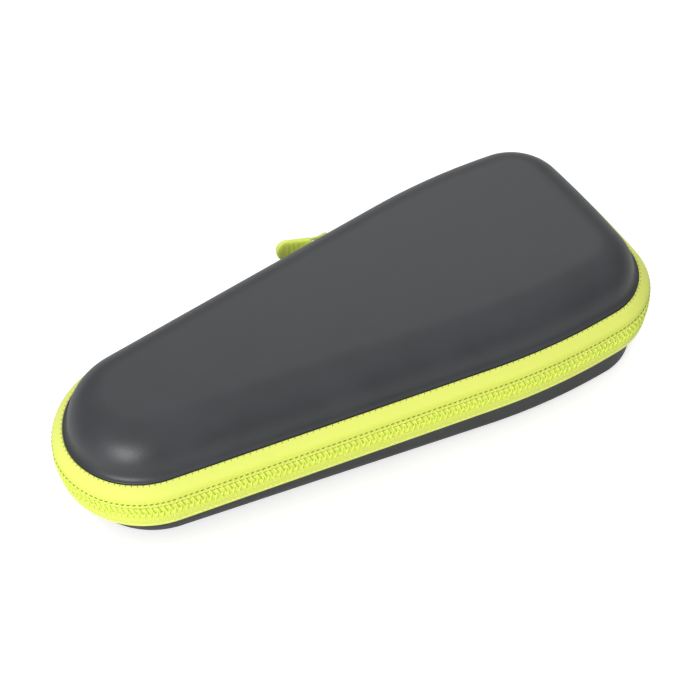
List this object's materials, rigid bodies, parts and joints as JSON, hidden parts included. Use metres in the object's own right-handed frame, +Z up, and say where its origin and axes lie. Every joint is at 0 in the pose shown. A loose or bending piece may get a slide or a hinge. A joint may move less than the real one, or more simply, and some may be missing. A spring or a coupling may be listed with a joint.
{
  "type": "electric shaver hard case",
  "caption": "Tapered hard case for an electric shaver: moulded base and lid joined by a folding fabric spine and closed by a coil zip with a swinging pull.",
  "frame": {"origin": "on the floor, under the middle of the case's length and width, without the pull", "axes": "+X along the case to its wide end, +Y towards the spine side, +Z up"},
  "size_m": [0.22, 0.1028, 0.0506],
  "materials": {
    "lid_skin": "soft matt moulded skin",
    "base_skin": "soft matt moulded skin",
    "lining": "short brushed knit",
    "foam": "flocked moulded foam",
    "elastic": "ribbed elastic webbing",
    "patch": "sewn woven patch",
    "zip_tape": "woven zip tape, lime",
    "zip_coil": "nylon coil, lime",
    "binding": "woven binding tape",
    "net": "open knitted net",
    "spine_cloth": "plain woven cloth",
    "zip_stop": "moulded stop, lime",
    "slider_metal": "lacquered die casting, lime",
    "pull_rubber": "moulded soft grip, lime"
  },
  "bodies": {
    "base": {"base_shell": "base_skin", "base_lining": "lining", "shaver_cradle": "foam", "cradle_strap": "elastic", "strap_patch_near": "patch", "strap_patch_far": "patch", "base_zip_tape": "zip_tape", "base_zip_coil": "zip_coil", "base_binding": "binding"},
    "spine": {"spine_panel": "spine_cloth", "spine_lining": "lining", "chain_tape": "zip_tape", "chain_coil": "zip_coil", "stop_head": "zip_stop", "stop_nose": "zip_stop"},
    "lid": {"lid_shell": "lid_skin", "lid_lining": "lining", "lid_zip_tape": "zip_tape", "lid_zip_coil": "zip_coil", "lid_binding": "binding", "mesh_pocket": "net", "pocket_hem": "elastic"},
    "slider": {"slider_body": "slider_metal", "slider_bridge": "slider_metal"},
    "pull": {"pull_link": "slider_metal", "pull_grip": "pull_rubber"}
  },
  "joints": [
    {"name": "spine_fold", "type": "hinge", "parent": "base", "child": "spine", "pos_m": [-0.0403, 0.03768, 0.02], "axis": [-0.9913, -0.1315, 0], "range_deg": [0, 90]},
    {"name": "lid_fold", "type": "hinge", "parent": "spine", "child": "lid", "pos_m": [-0.0403, 0.03768, 0.031], "axis": [-0.9913, -0.1315, 0], "range_deg": [0, 90]},
    {"name": "slider_run", "type": "slide", "parent": "spine", "child": "slider", "axis": [0.9913, 0.1315, 0], "range_m": [0, 0.007]},
    {"name": "pull_swing", "type": "hinge", "parent": "slider", "child": "pull", "pos_m": [0.01654, 0.0487, 0.0255], "axis": [0, 0, -1], "range_deg": [-17, 159]}
  ],
  "couplings": [
    {"joint": "spine_fold", "follows": "lid_fold", "ratio": 1}
  ]
}
